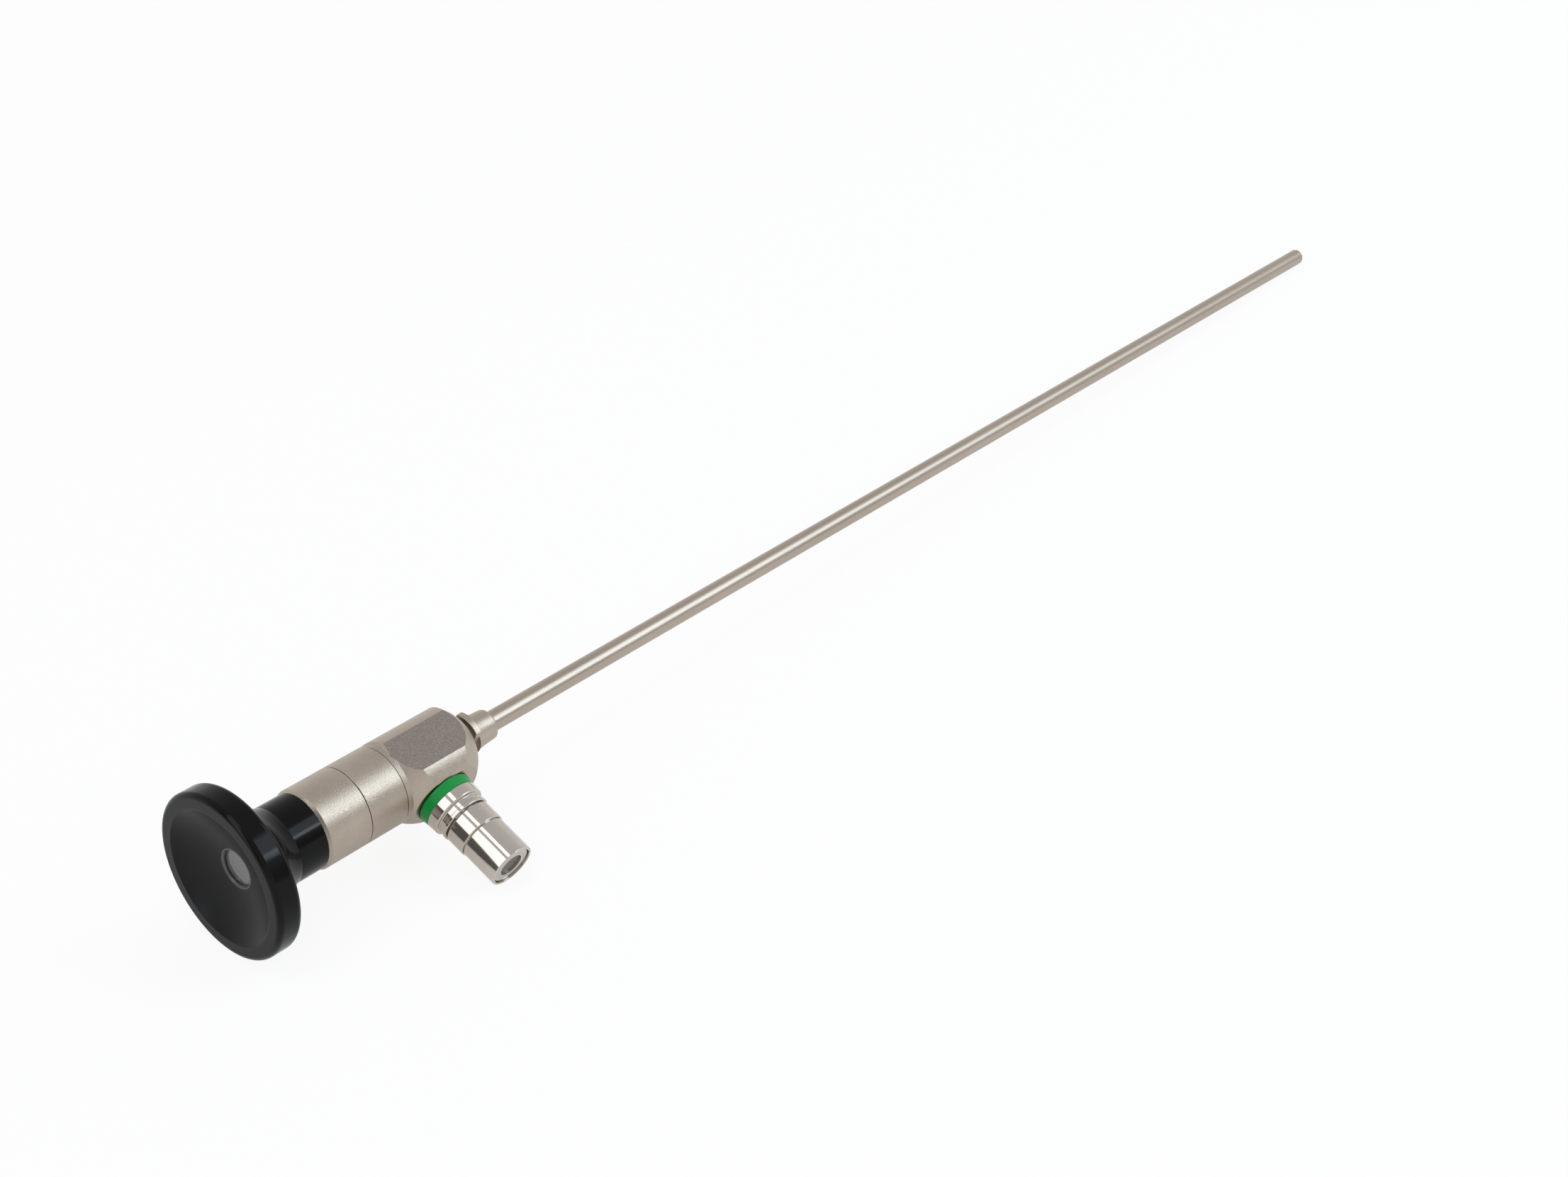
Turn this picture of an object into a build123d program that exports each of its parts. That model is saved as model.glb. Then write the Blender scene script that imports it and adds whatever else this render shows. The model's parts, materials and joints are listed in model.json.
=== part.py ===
from build123d import *
from math import acos, asin, atan2, cos, hypot, sin, sqrt
import os

# Rigid endoscope of the rod-lens type, all lengths in millimetres.
# It lies as it comes to rest on a flat surface at Z = 0: on the rim of its eyecup, on the end
# of its light post and on the tip of its shaft. Places named _x are measured along the optical
# axis from the front face of the eyecup, places named _s along the light post from that axis.

# Eyecup
eyecup_radius = 16.0
eyecup_side_x = 3.9
eyecup_front_round = 1.0
eyecup_back_round = 1.1
eyecup_back_radius = 11.4
eyecup_back_x = 6.5
eyecup_flare_slope = 2.2
eyecup_crease_slope = 0.3
eyecup_flare_pull = 0.9
dish_radius = 13.1
dish_lip_round = 0.35
dish_floor_radius = 4.1
dish_depth = 3.6
dish_bulge = 0.55
neck_radius = 7.45
neck_front_x = 11.9
neck_rear_x = 17.85
neck_edge_round = 0.15

# Eyepiece optics
core_radius = 5.9
core_front_x = 6.4
core_wall = 1.2
ring_radius = 3.94
ring_end_x = 8.2
ring_bevel = 0.25
glass_radius = 3.4
glass_front_x = 4.3
glass_thickness = 1.2
glass_seat_radius = 2.9
cell_radius = 4.6
cell_bore = 3.7
cell_end_x = 18.4
eye_lens_x = 9.4
eye_lens_edge = 2.2
eye_lens_bulge = 0.75
field_lens_edge = 1.5
lens_clear_radius = 2.9
retainer_length = 1.6
stop_thickness = 0.4
stop_bore = 1.5
stop_notch = 0.35

# Steel sleeves between the eyecup and the body
sleeve_radius = 7.8
sleeve_bore = 6.6
sleeve_bevel = 0.5
joint_one_x = 27.3
joint_two_x = 35.8
joint_break = 0.1
joint_groove_depth = 0.3
joint_groove_width = 0.13
spigot_rear_x = 22.0
spigot_bore = 4.0
seal_thickness = 1.0
rear_seal_x = 20.6
front_seal_x = 31.4

# Body block
body_radius = 8.85
body_offset = 1.12
body_flat = 7.8
post_face_s = 8.2
shoulder_x = 36.8
shoulder_top_x = 42.6
shoulder_top_radius = 9.9
shoulder_middle_x = 38.4
shoulder_middle_radius = 8.93
nose_centre_x = 46.0
nose_start_x = 47.84
nose_face_radius = 4.6
chamber_radius = 5.2
chamber_front_wall = 5.95
chamber_rear_x = 38.5

# Sheath lock on the front of the body
lock_spigot_radius = 3.6
lock_spigot_depth = 5.0
lock_neck_radius = 3.3
lock_gap = 0.75
flange_radius = 4.9
flange_thickness = 1.3
flange_flat = 2.75
lock_edge_round = 0.15
hub_root_radius = 3.5
hub_root_round = 0.2
hub_waist_length = 2.2
hub_waist_radius = 3.2
hub_waist_round = 0.8
hub_length = 5.2
hub_end_wall = 0.73
hub_end_round = 0.55

# Shaft
shaft_tip_x = 361.0
shaft_radius = 2.0
shaft_wall = 0.2
shaft_root_depth = 2.95
shaft_collar_height = 0.25
shaft_collar_fillet = 0.2
tip_round = 0.15
optic_tube_radius = 1.45
optic_tube_wall = 0.1
tip_window_radius = 1.2
tip_window_thickness = 0.6
tip_ferrule_length = 5.0
objective_edge = 1.4
objective_hollow = 0.3
hollow_radius = 0.9
objective_gap = 0.25
optic_tube_rear_x = 23.0
bush_length = 3.5
first_rod_x = 29.0
rod_count = 12
rod_gap = 3.25
rod_bulge = 0.12
spacer_wall = 0.14
fan_radius = 4.9
fan_rear_x = 39.5
fan_cone_length = 4.0
fan_gap = 0.15

# Light post
post_x = 43.8
post_neck_radius = 4.4
post_root_s = 5.4
ring_outer_radius = 5.7
ring_front_radius = 5.42
ring_start_s = 8.35
ring_end_s = 10.4
ring_start_round = 0.15
ring_end_round = 0.1
collar_root_radius = 5.45
collar_radius = 5.35
collar_end_s = 12.6
collar_round = 0.3
waist_radius = 4.7
waist_round = 0.2
bead_radius = 4.95
bead_round = 0.2
bead_start_s = 13.7
bead_end_s = 14.5
sleeve_start_s = 14.85
sleeve_root_radius = 4.72
sleeve_step_s = 18.85
sleeve_tip_radius = 4.5
post_end_s = 26.9
post_end_round = 0.2
sleeve_edge_round = 0.18
sleeve_wall = 0.5
step_groove_width = 0.22
step_groove_depth = 0.25
thread_length = 4.2
inner_post_radius = 3.86
inner_post_end_s = 26.6
inner_post_round = 0.1
ferrule_radius = 3.0
ferrule_start_s = 21.5
bundle_radius = 2.35
bundle_recess = 0.35

# Clearances
slip = 0.02
seat = 0.01
seal_squeeze = 0.02

# Rest pose. The rim's back edge and the shaft's tip both touch the surface, which sets the
# nose-down tilt. The rounded end of the light post touches it too, which sets the roll.
rim_edge_x = eyecup_side_x
rim_edge_radius = eyecup_radius - eyecup_back_round
tip_edge_x = shaft_tip_x - tip_round
tip_edge_radius = shaft_radius - tip_round
edge_run = tip_edge_x - rim_edge_x
edge_drop = rim_edge_radius - tip_edge_radius
tilt = atan2(edge_drop, edge_run) + asin((eyecup_back_round - tip_round) / hypot(edge_run, edge_drop))
eye_height = rim_edge_x * sin(tilt) + rim_edge_radius * cos(tilt) + eyecup_back_round

post_edge_s = post_end_s - post_end_round
post_edge_radius = sleeve_tip_radius - post_end_round
post_height = (eye_height - post_x * sin(tilt) - post_end_round) / cos(tilt)
roll = asin(post_height / hypot(post_edge_s, post_edge_radius)) - atan2(post_edge_radius, post_edge_s)

# The origin is under the middle of the whole object, so the eyepiece stands off from it by
# half the difference between what reaches out on either side.
reach_back = (eyecup_radius - eyecup_front_round) * sin(tilt) + eyecup_front_round * (1 - cos(tilt))
reach_front = tip_edge_x * cos(tilt) + tip_edge_radius * sin(tilt) + tip_round
reach_post = post_edge_s * cos(roll) + post_edge_radius * sin(roll) + post_end_round
eye_point = Vector((reach_back - reach_front) / 2, (reach_post - eyecup_radius) / 2, eye_height)
axis_dir = Vector(cos(tilt), 0, -sin(tilt))
post_dir = Vector(-sin(tilt) * sin(roll), -cos(roll), -cos(tilt) * sin(roll))
post_origin = eye_point + axis_dir * post_x

# Section planes hold the half profiles of turned pieces: local X runs along the piece's axis
# and local Y is the radius.
scope_section = Plane(origin=eye_point, x_dir=axis_dir, z_dir=axis_dir.cross(post_dir))
post_section = Plane(origin=post_origin, x_dir=post_dir, z_dir=post_dir.cross(axis_dir))
scope_axis = Axis(eye_point, axis_dir)
post_axis = Axis(post_origin, post_dir)

os.makedirs("parts", exist_ok=True)


def station(x):
    """Plane across the optical axis at x, with its local X toward the light post."""
    return Plane(origin=eye_point + axis_dir * x, x_dir=post_dir, z_dir=axis_dir)


def turn(points, section=scope_section, axis=scope_axis, rounds=0.0, mode=Mode.ADD):
    """Revolve a closed half profile, with its corners rounded where rounds says so."""
    with BuildSketch(section, mode=Mode.PRIVATE) as profile:
        with BuildLine():
            FilletPolyline(*points, radius=rounds, close=True)
        make_face()
    revolve(profile.sketch, axis=axis, mode=mode)


def ring_profile(start, end, inner, outer):
    """Corners of the half profile of a plain ring or tube."""
    return [(start, inner), (end, inner), (end, outer), (start, outer)]


def dome(apex_x, edge_x, edge_radius):
    """Three points of a lens face, from its apex on the optical axis to its edge."""
    depth = edge_x - apex_x
    curvature_radius = (edge_radius ** 2 + depth ** 2) / (2 * depth)
    half_angle = asin(edge_radius / abs(curvature_radius)) / 2
    middle_x = apex_x + curvature_radius * (1 - cos(half_angle))
    return (apex_x, 0), (middle_x, abs(curvature_radius) * sin(half_angle)), (edge_x, edge_radius)


def save(piece, name):
    """Label a finished piece and write it under the same name."""
    piece.part.label = name
    export_step(piece.part, f"parts/{name}.step")


# Eyecup: one moulded funnel with a shallow dish for the eye, a flared back and a plain neck
with BuildPart() as eyecup:
    with BuildSketch(scope_section):
        with BuildLine():
            FilletPolyline(
                (0, dish_radius),
                (0, eyecup_radius),
                (eyecup_side_x + eyecup_back_round, eyecup_radius),
                (eyecup_side_x + eyecup_back_round, eyecup_radius - 2 * eyecup_back_round),
                (eyecup_back_x, eyecup_back_radius),
                radius=[eyecup_front_round, eyecup_back_round, eyecup_back_round],
            )
            flare = Spline(
                (eyecup_back_x, eyecup_back_radius),
                (neck_front_x, neck_radius),
                tangents=((1, -eyecup_flare_slope), (1, -eyecup_crease_slope)),
                tangent_scalars=(eyecup_flare_pull, eyecup_flare_pull),
            )
            Polyline(
                flare @ 1,
                (neck_rear_x, neck_radius),
                (neck_rear_x, core_radius + slip),
                (core_front_x, core_radius + slip),
                (core_front_x, ring_radius + slip),
                (dish_depth, ring_radius + slip),
                (dish_depth, dish_floor_radius),
            )
            ThreePointArc(
                (dish_depth, dish_floor_radius),
                (dish_depth / 2 + dish_bulge, (dish_floor_radius + dish_radius) / 2),
                (0, dish_radius),
            )
        make_face()
    revolve(axis=scope_axis)
    rims = eyecup.edges().filter_by(GeomType.CIRCLE).group_by(scope_axis)
    fillet(rims[0].sort_by(SortBy.RADIUS)[0], dish_lip_round)
    fillet(rims[-1].sort_by(SortBy.RADIUS)[-1], neck_edge_round)
save(eyecup, "eyecup")

# Ring that holds the eyepiece window, proud of the bottom of the dish
glass_end_x = glass_front_x + glass_thickness
with BuildPart() as window_ring:
    turn([
        (dish_depth + seat, glass_radius + slip),
        (glass_end_x + seat, glass_radius + slip),
        (glass_end_x + seat, glass_seat_radius),
        (ring_end_x, glass_seat_radius),
        (ring_end_x, ring_radius),
        (dish_depth + seat, ring_radius),
    ])
    ring_front = window_ring.edges().filter_by(GeomType.CIRCLE).group_by(scope_axis)[0]
    chamfer(ring_front.sort_by(SortBy.RADIUS)[0], ring_bevel)
save(window_ring, "window_ring")

with BuildPart() as eyepiece_window:
    turn(ring_profile(glass_front_x, glass_end_x, 0, glass_radius))
save(eyepiece_window, "eyepiece_window")

# Steel core of the eyepiece: the eyecup screws onto it and the window ring sits in its nose
with BuildPart() as eyepiece_core:
    turn([
        (core_front_x + seat, ring_radius + slip),
        (core_front_x + core_wall, ring_radius + slip),
        (core_front_x + core_wall, cell_radius + slip),
        (spigot_rear_x - seat, cell_radius + slip),
        (spigot_rear_x - seat, sleeve_bore - slip),
        (rear_seal_x + seal_thickness / 2, sleeve_bore - slip),
        (rear_seal_x + seal_thickness / 2, sleeve_bore - seal_thickness),
        (rear_seal_x - seal_thickness / 2, sleeve_bore - seal_thickness),
        (rear_seal_x - seal_thickness / 2, sleeve_bore - slip),
        (neck_rear_x + seat, sleeve_bore - slip),
        (neck_rear_x + seat, core_radius),
        (core_front_x + seat, core_radius),
    ])
save(eyepiece_core, "eyepiece_core")

# Lens cell with the two eyepiece lenses, their retaining ring and the field stop
cell_front_x = ring_end_x + seat
with BuildPart() as ocular_cell:
    turn([
        (cell_front_x, lens_clear_radius),
        (eye_lens_x - seat, lens_clear_radius),
        (eye_lens_x - seat, cell_bore + slip),
        (cell_end_x, cell_bore + slip),
        (cell_end_x, cell_radius),
        (cell_front_x, cell_radius),
    ])
save(ocular_cell, "ocular_cell")

field_lens_x = eye_lens_x + eye_lens_edge + seat
with BuildPart() as eye_lens:
    with BuildSketch(scope_section):
        with BuildLine():
            face = ThreePointArc(*dome(eye_lens_x - eye_lens_bulge, eye_lens_x, lens_clear_radius))
            Polyline(
                face @ 1,
                (eye_lens_x, cell_bore),
                (eye_lens_x + eye_lens_edge, cell_bore),
                (eye_lens_x + eye_lens_edge, 0),
                face @ 0,
            )
        make_face()
    revolve(axis=scope_axis)
save(eye_lens, "eye_lens")

field_lens_end_x = field_lens_x + field_lens_edge
with BuildPart() as field_lens:
    with BuildSketch(scope_section):
        with BuildLine():
            apex_x = field_lens_end_x + eye_lens_bulge
            face = ThreePointArc(*dome(apex_x, field_lens_end_x, lens_clear_radius))
            Polyline(
                face @ 1,
                (field_lens_end_x, cell_bore),
                (field_lens_x, cell_bore),
                (field_lens_x, 0),
                face @ 0,
            )
        make_face()
    revolve(axis=scope_axis)
save(field_lens, "field_lens")

retainer_x = field_lens_end_x + seat
with BuildPart() as lens_retainer:
    turn(ring_profile(retainer_x, retainer_x + retainer_length, lens_clear_radius + slip, cell_bore))
save(lens_retainer, "lens_retainer")

# The stop frames the picture, and its notch shows which way up the picture is
stop_x = cell_end_x + seat
with BuildPart() as field_stop:
    turn(ring_profile(stop_x, stop_x + stop_thickness, stop_bore, cell_radius))
    with BuildSketch(station(stop_x)):
        with Locations((0, -stop_bore)):
            Rectangle(2 * stop_notch, 2 * stop_notch)
    extrude(amount=stop_thickness, mode=Mode.SUBTRACT)
save(field_stop, "field_stop")

# Two steel sleeves, butted against each other, with a fine groove round each joint
with BuildPart() as rear_sleeve:
    turn(
        ring_profile(neck_rear_x + seat, joint_one_x, sleeve_bore, sleeve_radius),
        rounds=[0, 0, joint_break, 0],
    )
    sleeve_rear = rear_sleeve.edges().filter_by(GeomType.CIRCLE).group_by(scope_axis)[0]
    chamfer(sleeve_rear.sort_by(SortBy.RADIUS)[-1], sleeve_bevel)
save(rear_sleeve, "rear_sleeve")

groove_radius = sleeve_radius - joint_groove_depth
front_sleeve_x = joint_one_x + seat
with BuildPart() as front_sleeve:
    turn(
        [
            (front_sleeve_x, sleeve_bore),
            (joint_two_x, sleeve_bore),
            (joint_two_x, groove_radius),
            (joint_two_x - joint_groove_width, groove_radius),
            (joint_two_x - joint_groove_width, sleeve_radius),
            (front_sleeve_x + joint_groove_width, sleeve_radius),
            (front_sleeve_x + joint_groove_width, groove_radius),
            (front_sleeve_x, groove_radius),
        ],
        rounds=[0, 0, 0, 0, joint_break, joint_break, 0, 0],
    )
save(front_sleeve, "front_sleeve")


def seal_ring(x):
    """O-ring in its groove, just short of filling it."""
    middle = sleeve_bore - seal_thickness / 2
    with BuildPart() as ring:
        with BuildSketch(scope_section):
            with Locations((x, middle)):
                Circle(seal_thickness / 2 - seal_squeeze)
        revolve(axis=scope_axis)
    return ring


rear_seal = seal_ring(rear_seal_x)
save(rear_seal, "rear_seal")
front_seal = seal_ring(front_seal_x)
save(front_seal, "front_seal")

# Body block: an eccentric bar, fuller toward the light post, with turned shoulder and nose,
# a gripping flat on each side, a flat for the light post and a spigot for the sleeves
nose_radius = hypot(nose_start_x - nose_centre_x, shoulder_top_radius)
body_front_x = nose_centre_x + sqrt(nose_radius ** 2 - nose_face_radius ** 2)
chamber_front_x = body_front_x - chamber_front_wall
optic_bore = optic_tube_radius + slip
lock_bore_x = body_front_x - lock_spigot_depth
with BuildPart() as body_block:
    with BuildSketch(station(joint_two_x + seat)):
        with Locations((body_offset, 0)):
            Circle(body_radius)
    extrude(amount=body_front_x - joint_two_x - seat)
    with BuildSketch(scope_section):
        with BuildLine():
            neck = Line((joint_two_x + seat, sleeve_radius - joint_break), (shoulder_x, sleeve_radius))
            rise = ThreePointArc(
                neck @ 1,
                (shoulder_middle_x, shoulder_middle_radius),
                (shoulder_top_x, shoulder_top_radius),
            )
            crest = Line(rise @ 1, (nose_start_x, shoulder_top_radius))
            nose_angle = acos(shoulder_top_radius / nose_radius)
            face_angle = acos(nose_face_radius / nose_radius)
            middle_angle = (nose_angle + face_angle) / 2
            nose = ThreePointArc(
                crest @ 1,
                (nose_centre_x + nose_radius * sin(middle_angle), nose_radius * cos(middle_angle)),
                (body_front_x, nose_face_radius),
            )
            Polyline(nose @ 1, (body_front_x, 0), (joint_two_x + seat, 0), neck @ 0)
        make_face()
    revolve(axis=scope_axis, mode=Mode.INTERSECT)
    with BuildSketch(station(joint_two_x + seat)):
        Rectangle(4 * body_radius, 2 * body_flat)
    extrude(amount=body_front_x - joint_two_x, mode=Mode.INTERSECT)
    with BuildSketch(station(joint_two_x + seat)):
        with Locations((post_face_s + body_radius, 0)):
            Rectangle(2 * body_radius, 4 * body_radius)
    extrude(amount=body_front_x - joint_two_x, mode=Mode.SUBTRACT)
    turn([
        (spigot_rear_x, spigot_bore),
        (joint_two_x + seat, spigot_bore),
        (joint_two_x + seat, sleeve_bore - slip),
        (front_seal_x + seal_thickness / 2, sleeve_bore - slip),
        (front_seal_x + seal_thickness / 2, sleeve_bore - seal_thickness),
        (front_seal_x - seal_thickness / 2, sleeve_bore - seal_thickness),
        (front_seal_x - seal_thickness / 2, sleeve_bore - slip),
        (spigot_rear_x, sleeve_bore - slip),
    ])
    turn(ring_profile(joint_two_x, chamber_rear_x, 0, optic_bore), mode=Mode.SUBTRACT)
    turn(ring_profile(chamber_rear_x, chamber_front_x, 0, chamber_radius), mode=Mode.SUBTRACT)
    turn(ring_profile(chamber_front_x, body_front_x, 0, lock_spigot_radius + slip), mode=Mode.SUBTRACT)
    post_bore = ring_profile(0, post_face_s, 0, post_neck_radius + slip)
    turn(post_bore, post_section, post_axis, mode=Mode.SUBTRACT)
save(body_block, "body_block")

# Sheath lock: a spigot held in the nose, a flange with two flats, and the hub of the shaft
flange_rear_x = body_front_x + lock_gap
flange_front_x = flange_rear_x + flange_thickness
hub_waist_x = flange_front_x + hub_waist_length
hub_end_x = flange_front_x + hub_length
shaft_collar_radius = shaft_radius + shaft_collar_height
hub_bore = shaft_collar_radius + slip
with BuildPart() as sheath_lock:
    turn(
        [
            (lock_bore_x, hub_bore),
            (hub_end_x, hub_bore),
            (hub_end_x, hub_bore + hub_end_wall),
            (hub_waist_x, hub_waist_radius),
            (flange_front_x, hub_root_radius),
            (flange_front_x, flange_radius),
            (flange_rear_x, flange_radius),
            (flange_rear_x, lock_neck_radius),
            (body_front_x, lock_neck_radius),
            (body_front_x, lock_spigot_radius),
            (lock_bore_x, lock_spigot_radius),
        ],
        rounds=[0, 0, hub_end_round, hub_waist_round, hub_root_round, lock_edge_round, lock_edge_round]
        + [0] * 4,
    )
    with BuildSketch(station(flange_rear_x)):
        Circle(2 * flange_radius)
        Rectangle(2 * flange_flat, 4 * flange_radius, mode=Mode.SUBTRACT)
    extrude(amount=flange_thickness, mode=Mode.SUBTRACT)
save(sheath_lock, "sheath_lock")

# Shaft: outer tube, fibre layer and optic tube one inside the other, ground flush at the tip.
# The root of the outer tube carries a collar, which sits in the hub and ends flush with it in
# a small fillet.
shaft_root_x = body_front_x - shaft_root_depth
fan_tip_x = lock_bore_x - fan_gap
fibre_outer = shaft_radius - shaft_wall - seat
fibre_inner = optic_tube_radius + seat
tube_bore = optic_tube_radius - optic_tube_wall
lens_radius = tube_bore - slip
with BuildPart() as outer_tube:
    turn(
        [
            (shaft_root_x, shaft_radius - shaft_wall),
            (shaft_tip_x, shaft_radius - shaft_wall),
            (shaft_tip_x, shaft_radius),
            (hub_end_x, shaft_radius),
            (hub_end_x, shaft_collar_radius),
            (shaft_root_x, shaft_collar_radius),
        ],
        rounds=[0, 0, tip_round, shaft_collar_fillet, 0, 0],
    )
save(outer_tube, "outer_tube")

with BuildPart() as fibre_layer:
    turn(ring_profile(fan_tip_x + seat, shaft_tip_x, fibre_inner, fibre_outer))
save(fibre_layer, "fibre_layer")

with BuildPart() as optic_tube:
    turn(ring_profile(optic_tube_rear_x, shaft_tip_x, tube_bore, optic_tube_radius))
save(optic_tube, "optic_tube")

with BuildPart() as optic_bush:
    turn(ring_profile(optic_tube_rear_x, optic_tube_rear_x + bush_length, optic_bore, spigot_bore - slip))
save(optic_bush, "optic_bush")

# Relay train: long glass rods with domed ends, held apart by thin spacer tubes
tip_ferrule_x = shaft_tip_x - tip_ferrule_length
rod_pitch = (tip_ferrule_x - seat - first_rod_x) / rod_count
rod_length = rod_pitch - rod_gap
rod_middles = [first_rod_x + rod_pitch * (index + 0.5) for index in range(rod_count)]
with BuildPart() as rod_lenses:
    for middle in rod_middles:
        rod_rear = middle - rod_length / 2
        rod_front = middle + rod_length / 2
        with BuildSketch(scope_section):
            with BuildLine():
                rear_face = ThreePointArc(*dome(rod_rear, rod_rear + rod_bulge, lens_radius))
                front_face = ThreePointArc(*dome(rod_front, rod_front - rod_bulge, lens_radius))
                Line(rear_face @ 1, front_face @ 1)
                Line(front_face @ 0, rear_face @ 0)
            make_face()
        revolve(axis=scope_axis)
save(rod_lenses, "rod_lenses")

# A spacer's inner edge seats on the domed rod ends a little way in from their rims.
spacer_bore = lens_radius - spacer_wall
spacer_seat = rod_bulge * (spacer_bore / lens_radius) ** 2 - seat
spacer_length = rod_gap + 2 * spacer_seat
with BuildPart() as lens_spacers:
    for middle in rod_middles[1:]:
        spacer_rear = middle - rod_pitch / 2 - spacer_length / 2
        turn(ring_profile(spacer_rear, spacer_rear + spacer_length, spacer_bore, lens_radius))
save(lens_spacers, "lens_spacers")

# Objective in its ferrule, closed by the window at the tip
window_rear_x = shaft_tip_x - tip_window_thickness
objective_front_x = window_rear_x - objective_gap
objective_middle_x = objective_front_x - objective_edge - seat
with BuildPart() as tip_ferrule:
    turn(ring_profile(tip_ferrule_x, shaft_tip_x, tip_window_radius + slip, lens_radius))
save(tip_ferrule, "tip_ferrule")

with BuildPart() as tip_window:
    turn(ring_profile(window_rear_x, shaft_tip_x, 0, tip_window_radius))
save(tip_window, "tip_window")

with BuildPart() as objective_lens:
    with BuildSketch(scope_section):
        with BuildLine():
            hollow_x = objective_front_x - objective_hollow
            hollow = ThreePointArc(*dome(hollow_x, objective_front_x, hollow_radius))
            Polyline(
                hollow @ 1,
                (objective_front_x, tip_window_radius),
                (objective_front_x - objective_edge, tip_window_radius),
                (objective_front_x - objective_edge, 0),
                hollow @ 0,
            )
        make_face()
    revolve(axis=scope_axis)
save(objective_lens, "objective_lens")

with BuildPart() as objective_rod:
    turn(ring_profile(tip_ferrule_x + objective_gap, objective_middle_x, 0, tip_window_radius))
save(objective_rod, "objective_rod")

# Light post: a turned stem with a collar, a waist and a bead, and a bore for the fibres
with BuildPart() as light_post:
    turn(
        [
            (post_root_s, bundle_radius + slip),
            (ferrule_start_s, bundle_radius + slip),
            (ferrule_start_s, ferrule_radius + slip),
            (inner_post_end_s, ferrule_radius + slip),
            (inner_post_end_s, inner_post_radius),
            (bead_end_s, inner_post_radius),
            (bead_end_s, bead_radius),
            (bead_start_s, bead_radius),
            (bead_start_s, waist_radius),
            (collar_end_s, waist_radius),
            (collar_end_s, collar_radius),
            (ring_end_s, collar_root_radius),
            (ring_end_s, post_neck_radius),
            (post_root_s, post_neck_radius),
        ],
        post_section,
        post_axis,
        rounds=[0] * 4 + [inner_post_round, 0, bead_round, bead_round, 0, waist_round]
        + [collar_round, ring_end_round, 0, 0],
    )
save(light_post, "light_post")

# Coloured ring that tells the direction of view, between the body and the collar
with BuildPart() as colour_ring:
    turn(
        [
            (ring_start_s, post_neck_radius + slip),
            (ring_end_s - seat, post_neck_radius + slip),
            (ring_end_s - seat, ring_front_radius),
            (ring_start_s, ring_outer_radius),
        ],
        post_section,
        post_axis,
        rounds=[0, 0, ring_end_round, ring_start_round],
    )
save(colour_ring, "colour_ring")

# Screwed sleeve over the stem, open at the end around the polished fibre face
sleeve_inner = sleeve_tip_radius - sleeve_wall
with BuildPart() as post_sleeve:
    turn(
        [
            (sleeve_start_s, inner_post_radius + slip),
            (sleeve_start_s + thread_length, inner_post_radius + slip),
            (sleeve_start_s + thread_length, sleeve_inner),
            (post_end_s, sleeve_inner),
            (post_end_s, sleeve_tip_radius),
            (sleeve_step_s + step_groove_width, sleeve_tip_radius),
            (sleeve_step_s + step_groove_width, sleeve_tip_radius - step_groove_depth),
            (sleeve_step_s, sleeve_tip_radius - step_groove_depth),
            (sleeve_step_s, sleeve_root_radius),
            (sleeve_start_s, sleeve_root_radius),
        ],
        post_section,
        post_axis,
        rounds=[0] * 4 + [post_end_round, joint_break, 0, 0, sleeve_edge_round, sleeve_edge_round],
    )
save(post_sleeve, "post_sleeve")

with BuildPart() as fibre_ferrule:
    turn(
        ring_profile(ferrule_start_s + seat, inner_post_end_s, bundle_radius + slip, ferrule_radius),
        post_section,
        post_axis,
    )
save(fibre_ferrule, "fibre_ferrule")

# Light fibres: a bundle in the post, which fans out round the optic tube inside the body
with BuildPart() as fibre_bundle:
    turn(
        ring_profile(fan_radius + slip, inner_post_end_s - bundle_recess, 0, bundle_radius),
        post_section,
        post_axis,
    )
save(fibre_bundle, "fibre_bundle")

with BuildPart() as fibre_fan:
    turn([
        (fan_rear_x, fibre_inner),
        (fan_tip_x, fibre_inner),
        (fan_tip_x, fibre_outer),
        (fan_tip_x - fan_cone_length, fan_radius),
        (fan_rear_x, fan_radius),
    ])
save(fibre_fan, "fibre_fan")
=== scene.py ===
import bpy
import json
from math import cos, pi, radians, sin
from mathutils import Matrix, Vector

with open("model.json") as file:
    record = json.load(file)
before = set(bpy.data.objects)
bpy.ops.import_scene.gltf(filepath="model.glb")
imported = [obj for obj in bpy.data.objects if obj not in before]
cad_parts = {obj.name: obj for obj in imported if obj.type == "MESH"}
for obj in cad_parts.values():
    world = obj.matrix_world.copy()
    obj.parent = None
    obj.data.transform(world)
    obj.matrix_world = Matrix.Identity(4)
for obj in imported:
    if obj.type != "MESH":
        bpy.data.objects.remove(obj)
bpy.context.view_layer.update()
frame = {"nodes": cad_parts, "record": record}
nodes = frame["nodes"]
mounts = {mount["name"]: mount for mount in frame["record"]["mounts"]}
mm = 0.001
white = (1, 1, 1, 1)
print("frame loaded,", len(nodes), "nodes")

# where the object's own axes lie, read from its mounts
rim = {"frontRound": 1.0 * mm}  # length of the rounding in front of the rim's straight side
axisDir = Vector(mounts["shaft"]["axis"]).normalized()
postDir = Vector(mounts["light_post_end"]["axis"]).normalized()
flatDir = axisDir.cross(postDir).normalized()
rimMiddle = Vector(mounts["eyecup_rim"]["pos_m"])
rimLength = mounts["eyecup_rim"]["dims"]["length_mm"] * mm
eyePoint = rimMiddle - axisDir * (rimLength / 2 + rim["frontRound"])  # middle of the eyecup's face
postMiddle = Vector(mounts["light_post_end"]["pos_m"])
postRoot = eyePoint + axisDir * (postMiddle - eyePoint).dot(axisDir)


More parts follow.
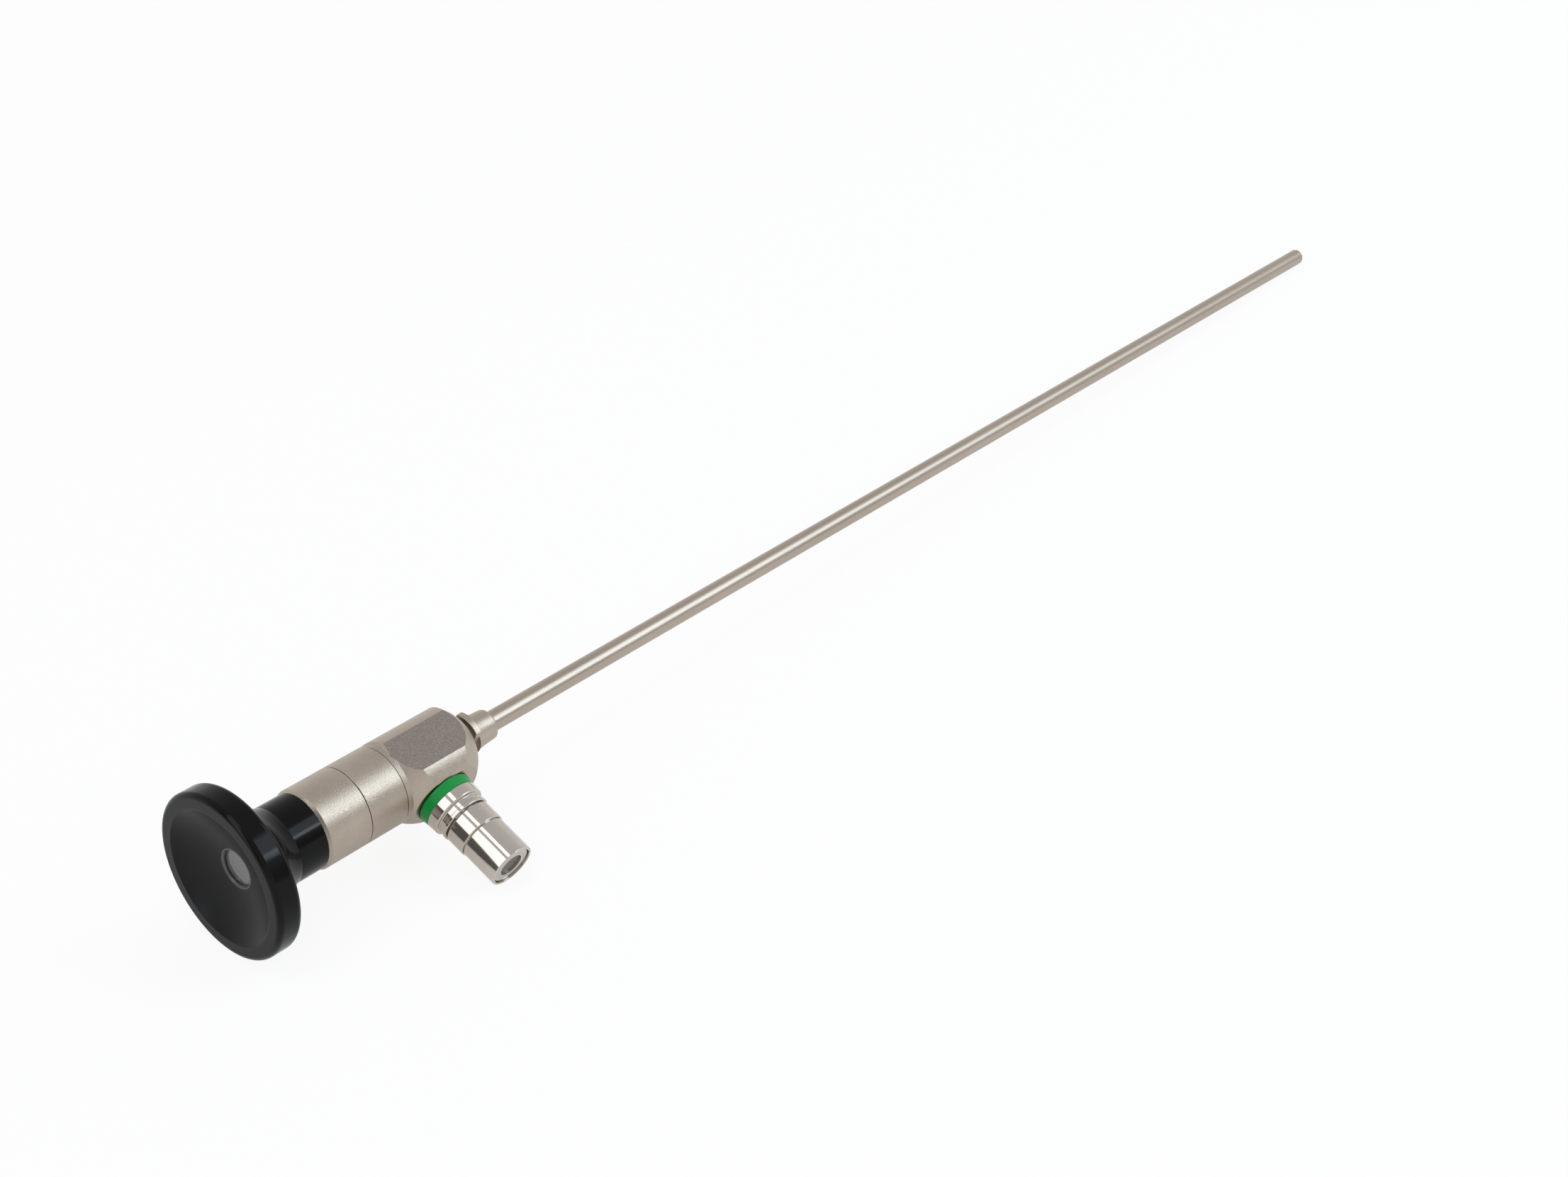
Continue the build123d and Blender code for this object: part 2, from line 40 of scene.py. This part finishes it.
class Wire:
    # one socket of a node, which takes part in sums as a number would
    def __init__(self, graph, socket):
        self.graph = graph
        self.socket = socket

    def calc(self, operation, *values):
        return self.graph.node("Math", {"operation": operation}, dict(enumerate(values)))

    def __add__(self, other):
        return self.calc("ADD", self, other)

    def __sub__(self, other):
        return self.calc("SUBTRACT", self, other)

    def __rsub__(self, other):
        return self.calc("SUBTRACT", other, self)

    def __mul__(self, other):
        return self.calc("MULTIPLY", self, other)

    def __truediv__(self, other):
        return self.calc("DIVIDE", self, other)

    def __rtruediv__(self, other):
        return self.calc("DIVIDE", other, self)

    def __pow__(self, other):
        return self.calc("POWER", self, other)

    def __rpow__(self, other):
        return self.calc("POWER", other, self)

    def __gt__(self, other):
        return self.calc("GREATER_THAN", self, other)

    def __lt__(self, other):
        return self.calc("LESS_THAN", self, other)

    def __abs__(self):
        return self.calc("ABSOLUTE", self)

    __radd__ = __add__
    __rmul__ = __mul__


class Graph:
    # a node tree under way, with one method that adds and wires any node
    def __init__(self, tree):
        self.tree = tree
        self.output = next(node for node in tree.nodes if node.type.startswith("OUTPUT"))

    def node(self, kind, settings={}, sockets={}, out=0):
        added = self.tree.nodes.new("ShaderNode" + kind)
        for name, value in settings.items():
            setattr(added, name, value)
        for name, value in sockets.items():
            self.plug(added.inputs[name], value)
        return Wire(self, added.outputs[out])

    def plug(self, socket, value):
        if isinstance(value, Wire):
            self.tree.links.new(value.socket, socket)
        else:
            socket.default_value = value

    def smooth(self, value, start, end):
        # 0 before start, 1 after end
        settings = {"interpolation_type": "SMOOTHSTEP"}
        return self.node("MapRange", settings, {0: value, 1: start, 2: end})

    def dot(self, first, second):
        return self.node("VectorMath", {"operation": "DOT_PRODUCT"}, {0: first, 1: second}, out=1)

    def ray(self, kind):
        # 1 for a ray of that kind, else 0
        return self.node("LightPath", out=f"Is {kind} Ray")

    def blend(self, factor, first, second):
        # one shader turning into another
        return self.node("MixShader", {}, {0: factor, 1: first, 2: second})


class Finish(Graph):
    # a material under way: its Principled shader and the nodes that feed it
    def __init__(self, name, constants):
        self.material = bpy.data.materials.new(name)
        self.material.use_nodes = True
        super().__init__(self.material.node_tree)
        self.shader = next(node for node in self.tree.nodes if node.type == "BSDF_PRINCIPLED")
        for socket, value in constants.items():
            self.shader.inputs[socket].default_value = value
        self.place = self.node("TexCoord", out="Object")

    def feed(self, name, value):
        self.plug(self.shader.inputs[name], value)

    def tint(self, factor, first, second):
        # one colour turning into another
        return self.node("Mix", {"data_type": "RGBA"}, {0: factor, 6: first, 7: second}, out=2)

    def offset(self, origin):
        return self.node("VectorMath", {"operation": "SUBTRACT"}, {0: self.place, 1: origin})

    def along(self, origin, direction):
        # distance of the shaded point from origin, measured along a direction
        return self.dot(self.offset(origin), direction)

    def radius(self, origin, direction):
        # distance of the shaded point from a line
        sockets = {0: self.offset(origin), 1: direction}
        across = self.node("VectorMath", {"operation": "CROSS_PRODUCT"}, sockets)
        return self.node("VectorMath", {"operation": "LENGTH"}, {0: across}, out=1)

    def noise(self, size, detail=3.0):
        # cloudy pattern whose features are about size metres across
        sockets = {"Vector": self.place, "Scale": 1 / size, "Detail": detail}
        return self.node("TexNoise", {}, sockets)

    def drawnNoise(self, *distances, detail=2.0):
        # noise drawn out into lines; each distance comes in units of its own feature size
        place = self.node("CombineXYZ", {}, dict(enumerate(distances)))
        return self.node("TexNoise", {}, {"Vector": place, "Scale": 1.0, "Detail": detail})

    def rings(self, origin, direction, pitch, stretch):
        # marks that run round an axis, as a lathe leaves them
        lengthwise = self.along(origin, direction) / pitch
        outward = self.radius(origin, direction) / stretch
        return self.drawnNoise(lengthwise, outward)

    def roughen(self, roughness, pattern, spread):
        # a roughness that a pattern moves up and down by half the spread
        self.feed("Roughness", roughness + spread * (pattern - 0.5))

    def bump(self, height, depth):
        self.feed("Normal", self.node("Bump", {}, {"Height": height, "Distance": depth}))


# Eyecup: black moulded plastic, duller in the dish than on the outside, with a painted sheen in the
# dish's lighter, bluish colour
eyecup = {
    "dark": (0.0018, 0.0018, 0.0019, 1),
    "light": (0.0034, 0.0034, 0.0036, 1),
    # the dish's colours are lighter and bluer than the outside's: a painted sheen
    "dishPaintedSheenDark": (0.0075, 0.0075, 0.0082, 1),
    "dishPaintedSheenLight": (0.0120, 0.0120, 0.0131, 1),
    "specular": 0.15,
    "outerRoughness": 0.12,
    "dishRoughness": 0.34,
    "roughnessSpread": 0.05,
    "lipRadius": 13.1 * mm,
    "lipWidth": 0.5 * mm,  # over which the outside turns into the dish
    "dishEnd": 5.0 * mm,
    "cloudSize": 4 * mm,
    "grainSize": 0.18 * mm,
    "grainDetail": 4.0,
    "grainDepth": 0.006 * mm,
    "outerGrain": 0.2,  # grain on the outside, as a share of the dish's
}


def eyecupPlastic(look=eyecup):
    finish = Finish("blackPlastic", {"Specular IOR Level": look["specular"]})
    radius = finish.radius(eyePoint, axisDir)
    withinLip = finish.smooth(radius, look["lipRadius"] + look["lipWidth"], look["lipRadius"])
    inDish = withinLip * (finish.along(eyePoint, axisDir) < look["dishEnd"])
    cloud = finish.noise(look["cloudSize"])
    grain = finish.noise(look["grainSize"], look["grainDetail"])
    outside = finish.tint(cloud, look["dark"], look["light"])
    # the dish's colour carries the painted sheen
    dishWithPaintedSheen = finish.tint(cloud, look["dishPaintedSheenDark"], look["dishPaintedSheenLight"])
    roughness = look["outerRoughness"] + (look["dishRoughness"] - look["outerRoughness"]) * inDish
    grainShare = look["outerGrain"] + (1 - look["outerGrain"]) * inDish
    finish.feed("Base Color", finish.tint(inDish, outside, dishWithPaintedSheen))
    finish.roughen(roughness, cloud, look["roughnessSpread"])
    finish.bump(grain * grainShare, look["grainDepth"])
    return finish.material


# Window ring: blackened metal with fine turning marks
windowRing = {
    "dark": (0.075, 0.075, 0.075, 1),
    "light": (0.12, 0.12, 0.12, 1),
    "metallic": 0.6,
    "roughness": 0.32,
    "markRoughness": 0.12,  # more where the marks are light
    "markPitch": 0.4 * mm,
    "markStretch": 0.05 * mm,
    "markDepth": 0.003 * mm,
}


def ringBlack(look=windowRing):
    finish = Finish("blackenedMetal", {"Metallic": look["metallic"]})
    marks = finish.rings(eyePoint, axisDir, look["markPitch"], look["markStretch"])
    finish.feed("Base Color", finish.tint(marks, look["dark"], look["light"]))
    finish.feed("Roughness", look["roughness"] + look["markRoughness"] * marks)
    finish.bump(marks, look["markDepth"])
    return finish.material


# Glass: a faint coating tint and very slight unevenness in the lenses; the windows' darker grey tint is
# painted shade, standing in for the dark inside seen through them
glass = {
    # painted shade: the dark inside seen through the window, put into its tint
    "windowTint": (0.37, 0.37, 0.36, 1),
    "windowClear": 0.75,  # how much of the light goes through
    "lensTint": (0.92, 0.95, 0.96, 1),
    "lensClear": 1.0,
    "index": 1.6,
    "cloudSize": 1.5 * mm,
    "cloudShade": 0.9,  # the darker part of the tint, as a share of the lighter
    "roughness": 0.05,
    "cloudRoughness": 0.04,
}


def clearGlass(kind, look=glass):
    finish = Finish(kind + "Glass", {"Transmission Weight": look[kind + "Clear"], "IOR": look["index"]})
    tint = look[kind + "Tint"]
    shade = tuple(look["cloudShade"] * part for part in tint[:3]) + (1,)
    cloud = finish.noise(look["cloudSize"])
    finish.feed("Base Color", finish.tint(cloud, tint, shade))
    finish.feed("Roughness", look["roughness"] + look["cloudRoughness"] * cloud)
    return finish.material


# Satin steel of the sleeves and body: blasted grain, and dull ground flats on the body
satin = {
    "colour": (0.56, 0.482, 0.402, 1),
    "shade": (0.40, 0.342, 0.283, 1),
    "roughness": 0.38,
    "roughnessSpread": 0.10,
    "flatColour": (0.380, 0.328, 0.286, 1),
    "flatShade": (0.255, 0.220, 0.192, 1),
    "flatRoughness": 0.55,
    "flatDistance": 7.8 * mm,  # of each flat from the optical axis
    "flatDepth": 0.03 * mm,  # how far below the flat its finish reaches
    "cloudSize": 5 * mm,
    "grainSize": 0.27 * mm,
    "grainDetail": 5.0,
    "grainLow": 0.30,
    "grainHigh": 0.70,
    "grainShare": 0.35,  # of the steel's mottling; the rest is cloud
    "grainDepth": 0.010 * mm,
}


def satinSteel(name, hasFlats, look=satin):
    finish = Finish(name, {"Metallic": 1.0})
    cloud = finish.noise(look["cloudSize"])
    speckle = finish.noise(look["grainSize"], look["grainDetail"])
    grain = finish.smooth(speckle, look["grainLow"], look["grainHigh"])
    mottle = look["grainShare"] * grain + (1 - look["grainShare"]) * cloud
    colour = finish.tint(mottle, look["shade"], look["colour"])
    roughness = look["roughness"]
    if hasFlats:
        offAxis = abs(finish.along(eyePoint, flatDir))
        onFlat = offAxis > look["flatDistance"] - look["flatDepth"]
        colour = finish.tint(onFlat, colour, finish.tint(grain, look["flatShade"], look["flatColour"]))
        roughness = roughness + (look["flatRoughness"] - roughness) * onFlat
    finish.feed("Base Color", colour)
    finish.roughen(roughness, grain, look["roughnessSpread"])
    finish.bump(grain, look["grainDepth"])
    return finish.material


# Shaft: drawn and polished tube, with faint lines along it
shaft = {
    "colour": (0.52, 0.446, 0.372, 1),
    "shade": (0.40, 0.341, 0.283, 1),
    "roughness": 0.34,
    "roughnessSpread": 0.04,
    "lineLength": 60 * mm,
    "lineWidth": 0.5 * mm,
    "lineShare": 0.5,  # of the steel's mottling; the rest is cloud
    "cloudSize": 20 * mm,
}


def shaftSteel(look=shaft):
    finish = Finish("shaftSteel", {"Metallic": 1.0})
    lengthwise = finish.along(eyePoint, axisDir) / look["lineLength"]
    acrossFlats = finish.along(eyePoint, flatDir) / look["lineWidth"]
    towardPost = finish.along(eyePoint, postDir) / look["lineWidth"]
    lines = finish.drawnNoise(lengthwise, acrossFlats, towardPost)
    cloud = finish.noise(look["cloudSize"])
    mottle = look["lineShare"] * lines + (1 - look["lineShare"]) * cloud
    finish.feed("Base Color", finish.tint(mottle, look["shade"], look["colour"]))
    finish.roughen(look["roughness"], lines, look["roughnessSpread"])
    return finish.material


# Light post: turned and mirror polished
post = {
    "colour": (0.62, 0.565, 0.505, 1),
    "shade": (0.54, 0.485, 0.43, 1),
    "metallic": 0.84,
    "roughness": 0.08,
    "markRoughness": 0.04,
    "markPitch": 0.3 * mm,
    "markStretch": 0.2 * mm,
    "markDepth": 0.0006 * mm,
    "cloudSize": 3 * mm,
}


def polishedSteel(look=post):
    finish = Finish("polishedSteel", {"Metallic": look["metallic"]})
    marks = finish.rings(postRoot, postDir, look["markPitch"], look["markStretch"])
    cloud = finish.noise(look["cloudSize"])
    finish.feed("Base Color", finish.tint(cloud, look["shade"], look["colour"]))
    finish.feed("Roughness", look["roughness"] + look["markRoughness"] * marks)
    finish.bump(marks, look["markDepth"])
    return finish.material


# Colour ring: glossy green plastic
greenRing = {
    "dark": (0.003, 0.225, 0.038, 1),
    "light": (0.007, 0.34, 0.062, 1),
    "specular": 0.28,
    "roughness": 0.30,
    "roughnessSpread": 0.10,
    "cloudSize": 2.5 * mm,
    "grainSize": 0.12 * mm,
    "grainDepth": 0.004 * mm,
}


def greenPlastic(look=greenRing):
    finish = Finish("greenPlastic", {"Specular IOR Level": look["specular"]})
    cloud = finish.noise(look["cloudSize"])
    grain = finish.noise(look["grainSize"])
    finish.feed("Base Color", finish.tint(cloud, look["dark"], look["light"]))
    finish.roughen(look["roughness"], grain, look["roughnessSpread"])
    finish.bump(grain, look["grainDepth"])
    return finish.material


# Light fibres: their ground ends, packed side by side
fibres = {
    "glass": (0.20, 0.165, 0.140, 1),
    "cement": (0.06, 0.05, 0.04, 1),
    "specular": 0.35,
    "glassRoughness": 0.20,
    "cementRoughness": 0.45,
    "fibreSize": 0.09 * mm,
    "coreStart": 0.02,  # of a fibre's size in from its edge, where its glass begins
    "coreEnd": 0.12,  # and where it is all glass
    "coreDepth": 0.004 * mm,
    "cloudSize": 1.2 * mm,
    "cloudShare": 0.5,  # how much the fibres differ in brightness
}


def fibreGlass(look=fibres):
    finish = Finish("lightFibres", {"Specular IOR Level": look["specular"]})
    settings = {"feature": "DISTANCE_TO_EDGE"}
    edge = finish.node("TexVoronoi", settings, {"Vector": finish.place, "Scale": 1 / look["fibreSize"]})
    cores = finish.smooth(edge, look["coreStart"], look["coreEnd"])
    cloud = finish.noise(look["cloudSize"])
    brightness = (1 - look["cloudShare"]) + look["cloudShare"] * cloud
    smoother = look["cementRoughness"] - look["glassRoughness"]
    finish.feed("Base Color", finish.tint(cores * brightness, look["cement"], look["glass"]))
    finish.feed("Roughness", look["cementRoughness"] - smoother * cores)
    finish.bump(cores, look["coreDepth"])
    return finish.material


# Inner pieces: turned metals and rubber, barely seen until it is taken apart
turned = {
    "roughnessSpread": 0.15,
    "markPitch": 0.3 * mm,
    "markStretch": 0.2 * mm,
    "markDepth": 0.003 * mm,
    "innerSteel": {
        "dark": (0.45, 0.43, 0.40, 1), "light": (0.58, 0.56, 0.53, 1),
        "metallic": 1.0, "roughness": 0.35,
    },
    "innerBlack": {
        "dark": (0.02, 0.02, 0.021, 1), "light": (0.045, 0.045, 0.048, 1),
        "metallic": 0.5, "roughness": 0.50,
    },
    "innerBrass": {
        "dark": (0.50, 0.36, 0.16, 1), "light": (0.66, 0.50, 0.25, 1),
        "metallic": 1.0, "roughness": 0.32,
    },
    "sealRubber": {
        "dark": (0.010, 0.010, 0.010, 1), "light": (0.022, 0.022, 0.022, 1),
        "metallic": 0.0, "roughness": 0.65,
    },
}


def turnedFinish(name):
    look = turned[name]
    finish = Finish(name, {"Metallic": look["metallic"]})
    marks = finish.rings(eyePoint, axisDir, turned["markPitch"], turned["markStretch"])
    finish.feed("Base Color", finish.tint(marks, look["dark"], look["light"]))
    finish.roughen(look["roughness"], marks, turned["roughnessSpread"])
    finish.bump(marks, turned["markDepth"])
    return finish.material


# the windows' glass, darkened with painted shade
windowGlassShadeTinted = clearGlass("window")
lensGlass = clearGlass("lens")
steel = satinSteel("satinSteel", hasFlats=False)
polished = polishedSteel()
fibre = fibreGlass()
innerSteel = turnedFinish("innerSteel")
innerBlack = turnedFinish("innerBlack")
innerBrass = turnedFinish("innerBrass")
sealRubber = turnedFinish("sealRubber")
finishes = {
    "eyecup": eyecupPlastic(),
    "window_ring": ringBlack(),
    "eyepiece_window": windowGlassShadeTinted,
    "tip_window": windowGlassShadeTinted,
    "rear_sleeve": steel,
    "front_sleeve": steel,
    "body_block": satinSteel("bodySteel", hasFlats=True),
    "sheath_lock": steel,
    "outer_tube": shaftSteel(),
    "light_post": polished,
    "post_sleeve": polished,
    "fibre_ferrule": polished,
    "colour_ring": greenPlastic(),
    "fibre_bundle": fibre,
    "fibre_fan": fibre,
    "fibre_layer": fibre,
    "eyepiece_core": innerSteel,
    "optic_tube": innerSteel,
    "tip_ferrule": innerSteel,
    "ocular_cell": innerBlack,
    "lens_retainer": innerBlack,
    "lens_spacers": innerBlack,
    "optic_bush": innerBrass,
    "field_stop": innerBrass,
    "rear_seal": sealRubber,
    "front_seal": sealRubber,
    "eye_lens": lensGlass,
    "field_lens": lensGlass,
    "rod_lenses": lensGlass,
    "objective_lens": lensGlass,
    "objective_rod": lensGlass,
}
for name, material in finishes.items():
    slots = nodes[name].data.materials
    slots.clear()
    slots.append(material)
print("finishes set on", len(finishes), "nodes")

# Floor: white to the eye, with a trace of the object's shadow
floor = {
    "size": 12.0,
    "colour": (0.98, 0.98, 0.98, 1),
    "shade": (0.96, 0.96, 0.96, 1),
    "cloudSize": 0.4,
    "specular": 0.1,
    "roughness": 0.8,
    "cameraShading": 0.10,  # how much of the floor's own shading the camera sees
    "mirrorShading": 0.60,  # and how much of it shows in metal
}


def floorFinish(look=floor):
    finish = Finish("paleFloor", {"Roughness": look["roughness"], "Specular IOR Level": look["specular"]})
    finish.feed("Base Color", finish.tint(finish.noise(look["cloudSize"]), look["colour"], look["shade"]))
    glowing = finish.node("Emission", {}, {"Color": white, "Strength": 1.0})
    shaded = Wire(finish, finish.shader.outputs[0])
    direct = (finish.ray("Camera") + finish.ray("Transmission")) > 0.5
    mirrored = (finish.ray("Glossy") > 0.5) * (1 - direct)
    whiteness = direct * (1 - look["cameraShading"]) + mirrored * (1 - look["mirrorShading"])
    finish.plug(finish.output.inputs["Surface"], finish.blend(whiteness, shaded, glowing))
    return finish.material


def layFloor():
    half = floor["size"] / 2
    corners = [(-half, -half, 0), (half, -half, 0), (half, half, 0), (-half, half, 0)]
    mesh = bpy.data.meshes.new("floor")
    mesh.from_pydata(corners, [], [(0, 1, 2, 3)])
    mesh.materials.append(floorFinish())
    ground = bpy.data.objects.new("floor", mesh)
    bpy.context.scene.collection.objects.link(ground)


layFloor()
print("floor laid")

# Sky: even light for dull surfaces, and for glossy ones a room that darkens upward and in patches
sky = {
    "colour": (1.0, 0.985, 0.965, 1),
    "diffuse": 0.62,
    "overhead": 0.60,  # as glossy surfaces see it, straight up
    "level": 0.95,  # and at the horizon
    "fall": 0.55,  # how quickly it darkens upward
    "patches": {
        "unlitSide": {"direction": (-0.93, 0.10, 0.25), "start": 0.72, "end": 0.93, "level": 0.35},
        "underWindow": {"direction": (0.640, -0.764, 0.080), "start": 0.950, "end": 0.985, "level": 0.40},
    },
}


def skyLight():
    world = bpy.data.worlds.new("softSky")
    world.use_nodes = True
    graph = Graph(world.node_tree)
    direction = graph.node("TexCoord")
    upward = graph.node("SeparateXYZ", {}, {0: direction}, out=2)
    height = upward.calc("MAXIMUM", upward, 0.0)
    glossy = sky["overhead"] + (sky["level"] - sky["overhead"]) * (1 - height) ** (1 / sky["fall"])
    for patch in sky["patches"].values():
        cover = graph.smooth(graph.dot(direction, patch["direction"]), patch["start"], patch["end"])
        glossy = glossy * (1 - (1 - patch["level"]) * cover)
    lit = graph.node("Background", {}, {"Color": sky["colour"], "Strength": sky["diffuse"]})
    mirrored = graph.node("Background", {}, {"Color": white, "Strength": glossy})
    seen = graph.node("Background", {}, {"Color": white, "Strength": 1.0})
    unseen = graph.blend(graph.ray("Glossy"), lit, mirrored)
    graph.plug(graph.output.inputs["Surface"], graph.blend(graph.ray("Camera"), unseen, seen))
    bpy.context.scene.world = world


skyLight()
print("sky set")

# each lamp hangs in a direction from the eyecup, at a distance, and faces it
# glow is how bright its face is, whatever its size
lamps = {
    "window": {
        "azimuth": -54, "elevation": 29, "distance": 1.2, "width": 0.16, "height": 0.15,
        "glow": 6.5, "colour": (0.78, 0.90, 1.0),
    },
    "wideWindow": {
        "azimuth": -37, "elevation": 35, "distance": 1.2, "width": 0.73, "height": 0.62,
        "glow": 2.5, "colour": (0.71, 0.865, 1.0),
    },
    "rearPanel": {
        "azimuth": 170, "elevation": 35, "distance": 1.6, "width": 0.6, "height": 1.88,
        "glow": 1.9, "colour": (0.92, 0.96, 1.0),
    },
    "topPanel": {
        "azimuth": 172, "elevation": 83, "distance": 1.6, "width": 0.6, "height": 0.34,
        "glow": 2.4, "colour": (0.92, 0.96, 1.0),
    },
}


def hangLamps():
    for name, lamp in lamps.items():
        azimuth = radians(lamp["azimuth"])
        elevation = radians(lamp["elevation"])
        level = Vector((cos(azimuth), sin(azimuth), 0))
        away = level * cos(elevation) + Vector((0, 0, sin(elevation)))
        light = bpy.data.lights.new(name, "AREA")
        light.shape = "RECTANGLE"
        light.color = lamp["colour"]
        light.size = lamp["width"]
        light.size_y = lamp["height"]
        light.energy = lamp["glow"] * pi * lamp["width"] * lamp["height"]
        hung = bpy.data.objects.new(name, light)
        hung.location = eyePoint + away * lamp["distance"]
        hung.rotation_euler = away.to_track_quat("Z", "Y").to_euler()
        bpy.context.scene.collection.objects.link(hung)


hangLamps()
print(len(lamps), "lamps hung")

# Camera: at the photograph's viewing angle
view = {
    "standoff": Vector((-169.1, -277.6, 249.73)) * mm,  # from the middle of the eyecup's face
    "yaw": 48.71,
    "pitch": 32.14,
    "roll": -1.63,
    "focalPixels": 3298,
    "imageWidth": 2212,
    "sensorWidth": 36,
    "clipStart": 0.01,
}


def photoCamera():
    yaw = radians(view["yaw"])
    pitch = radians(view["pitch"])
    roll = radians(view["roll"])
    level = Vector((cos(yaw), -sin(yaw), 0))
    ahead = Vector((sin(yaw), cos(yaw), 0))
    skyward = Vector((0, 0, 1))
    looking = ahead * cos(pitch) - skyward * sin(pitch)
    above = skyward * cos(pitch) + ahead * sin(pitch)
    right = level * cos(roll) + above * sin(roll)
    up = above * cos(roll) - level * sin(roll)
    lens = bpy.data.cameras.new("photoCamera")
    lens.sensor_width = view["sensorWidth"]
    lens.lens = view["sensorWidth"] * view["focalPixels"] / view["imageWidth"]
    lens.clip_start = view["clipStart"]
    camera = bpy.data.objects.new("photoCamera", lens)
    turned = Matrix((right, up, -looking)).transposed().to_4x4()
    camera.matrix_world = Matrix.Translation(eyePoint + view["standoff"]) @ turned
    bpy.context.scene.collection.objects.link(camera)
    bpy.context.scene.camera = camera


photoCamera()
bpy.context.scene.view_settings.view_transform = "Standard"
print("camera set")
